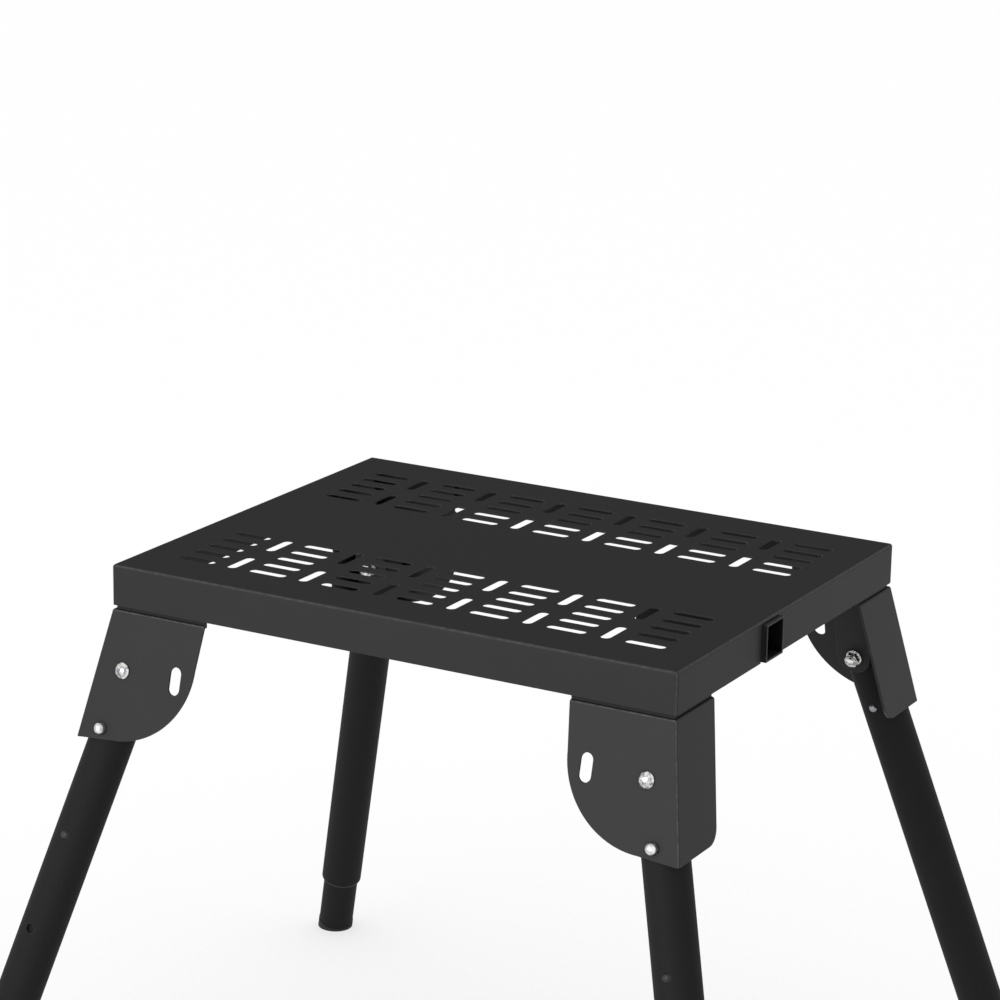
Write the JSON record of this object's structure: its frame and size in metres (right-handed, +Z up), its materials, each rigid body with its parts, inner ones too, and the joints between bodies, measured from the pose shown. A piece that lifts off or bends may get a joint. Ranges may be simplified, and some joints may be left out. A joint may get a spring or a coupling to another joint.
{
  "type": "power tool stand",
  "caption": "Folding steel stand for a bench power tool: a slotted table on four splayed, telescoping legs that lock open or fold flat under it",
  "frame": {"origin": "on the floor under the middle of the table", "axes": "+Z up, +X along the table to the end with the receiver tube, +Y to the rear"},
  "size_m": [0.867, 0.7352, 0.6],
  "materials": {
    "coated_steel": "fine-textured satin black powder coat",
    "coated_tube": "smooth semi-gloss black powder coat",
    "zinc_plate": "bright zinc plate",
    "spring_steel": "plain oiled spring steel",
    "black_nylon": "moulded black nylon",
    "black_rubber": "matt black rubber"
  },
  "bodies": {
    "frame": {"table_top": "coated_steel", "support_arm_receiver": "coated_steel", "front_left_bracket": "coated_steel", "front_right_bracket": "coated_steel", "rear_left_bracket": "coated_steel", "rear_right_bracket": "coated_steel", "pivot_bolts": "zinc_plate", "pivot_washers": "zinc_plate", "pivot_lock_nuts": "zinc_plate"},
    "front_left_leg": {"front_left_leg_tube": "coated_tube", "front_left_sleeve": "spring_steel", "front_left_lock_spring": "spring_steel", "front_left_guide_bush": "black_nylon"},
    "front_left_fold_lock": {"front_left_fold_lock": "zinc_plate"},
    "front_left_extension": {"front_left_extension": "coated_tube", "front_left_glide": "black_nylon", "front_left_foot": "black_rubber"},
    "front_left_height_lock": {"front_left_height_lock": "black_nylon"},
    "front_right_leg": {"front_right_leg_tube": "coated_tube", "front_right_sleeve": "spring_steel", "front_right_lock_spring": "spring_steel", "front_right_guide_bush": "black_nylon"},
    "front_right_fold_lock": {"front_right_fold_lock": "zinc_plate"},
    "front_right_extension": {"front_right_extension": "coated_tube", "front_right_glide": "black_nylon", "front_right_foot": "black_rubber"},
    "front_right_height_lock": {"front_right_height_lock": "black_nylon"},
    "rear_left_leg": {"rear_left_leg_tube": "coated_tube", "rear_left_sleeve": "spring_steel", "rear_left_lock_spring": "spring_steel", "rear_left_guide_bush": "black_nylon"},
    "rear_left_fold_lock": {"rear_left_fold_lock": "zinc_plate"},
    "rear_left_extension": {"rear_left_extension": "coated_tube", "rear_left_glide": "black_nylon", "rear_left_foot": "black_rubber"},
    "rear_left_height_lock": {"rear_left_height_lock": "black_nylon"},
    "rear_right_leg": {"rear_right_leg_tube": "coated_tube", "rear_right_sleeve": "spring_steel", "rear_right_lock_spring": "spring_steel", "rear_right_guide_bush": "black_nylon"},
    "rear_right_fold_lock": {"rear_right_fold_lock": "zinc_plate"},
    "rear_right_extension": {"rear_right_extension": "coated_tube", "rear_right_glide": "black_nylon", "rear_right_foot": "black_rubber"},
    "rear_right_height_lock": {"rear_right_height_lock": "black_nylon"}
  },
  "joints": [
    {"name": "front_left_fold", "type": "hinge", "parent": "frame", "child": "front_left_leg", "pos_m": [-0.2795, -0.22413, 0.495], "axis": [0, -0.9703, 0.2419], "range_deg": [0, 111.8]},
    {"name": "front_left_fold_button", "type": "slide", "parent": "front_left_leg", "child": "front_left_fold_lock", "axis": [0, 0.9703, -0.2419], "range_m": [0, 0.0115], "stiffness_N_per_m": 900, "deforming": ["front_left_fold_lock"]},
    {"name": "front_left_height", "type": "slide", "parent": "front_left_leg", "child": "front_left_extension", "axis": [0.2538, 0.234, 0.9385], "range_m": [-0.2, 0]},
    {"name": "front_left_height_button", "type": "slide", "parent": "front_left_extension", "child": "front_left_height_lock", "axis": [0, 0.9703, -0.2419], "range_m": [0, 0.005], "stiffness_N_per_m": 900, "deforming": ["front_left_height_lock"]},
    {"name": "front_right_fold", "type": "hinge", "parent": "frame", "child": "front_right_leg", "pos_m": [0.2795, -0.22413, 0.495], "axis": [0, 0.9703, -0.2419], "range_deg": [0, 97.6]},
    {"name": "front_right_fold_button", "type": "slide", "parent": "front_right_leg", "child": "front_right_fold_lock", "axis": [0, 0.9703, -0.2419], "range_m": [0, 0.0115], "stiffness_N_per_m": 900, "deforming": ["front_right_fold_lock"]},
    {"name": "front_right_height", "type": "slide", "parent": "front_right_leg", "child": "front_right_extension", "axis": [-0.2538, 0.234, 0.9385], "range_m": [-0.2, 0]},
    {"name": "front_right_height_button", "type": "slide", "parent": "front_right_extension", "child": "front_right_height_lock", "axis": [0, 0.9703, -0.2419], "range_m": [0, 0.005], "stiffness_N_per_m": 900, "deforming": ["front_right_height_lock"]},
    {"name": "rear_left_fold", "type": "hinge", "parent": "frame", "child": "rear_left_leg", "pos_m": [-0.2795, 0.22413, 0.495], "axis": [0, -0.9703, -0.2419], "range_deg": [0, 111.8]},
    {"name": "rear_left_fold_button", "type": "slide", "parent": "rear_left_leg", "child": "rear_left_fold_lock", "axis": [0, -0.9703, -0.2419], "range_m": [0, 0.0115], "stiffness_N_per_m": 900, "deforming": ["rear_left_fold_lock"]},
    {"name": "rear_left_height", "type": "slide", "parent": "rear_left_leg", "child": "rear_left_extension", "axis": [0.2538, -0.234, 0.9385], "range_m": [-0.2, 0]},
    {"name": "rear_left_height_button", "type": "slide", "parent": "rear_left_extension", "child": "rear_left_height_lock", "axis": [0, -0.9703, -0.2419], "range_m": [0, 0.005], "stiffness_N_per_m": 900, "deforming": ["rear_left_height_lock"]},
    {"name": "rear_right_fold", "type": "hinge", "parent": "frame", "child": "rear_right_leg", "pos_m": [0.2795, 0.22413, 0.495], "axis": [0, 0.9703, 0.2419], "range_deg": [0, 97.6]},
    {"name": "rear_right_fold_button", "type": "slide", "parent": "rear_right_leg", "child": "rear_right_fold_lock", "axis": [0, -0.9703, -0.2419], "range_m": [0, 0.0115], "stiffness_N_per_m": 900, "deforming": ["rear_right_fold_lock"]},
    {"name": "rear_right_height", "type": "slide", "parent": "rear_right_leg", "child": "rear_right_extension", "axis": [-0.2538, -0.234, 0.9385], "range_m": [-0.2, 0]},
    {"name": "rear_right_height_button", "type": "slide", "parent": "rear_right_extension", "child": "rear_right_height_lock", "axis": [0, -0.9703, -0.2419], "range_m": [0, 0.005], "stiffness_N_per_m": 900, "deforming": ["rear_right_height_lock"]}
  ]
}
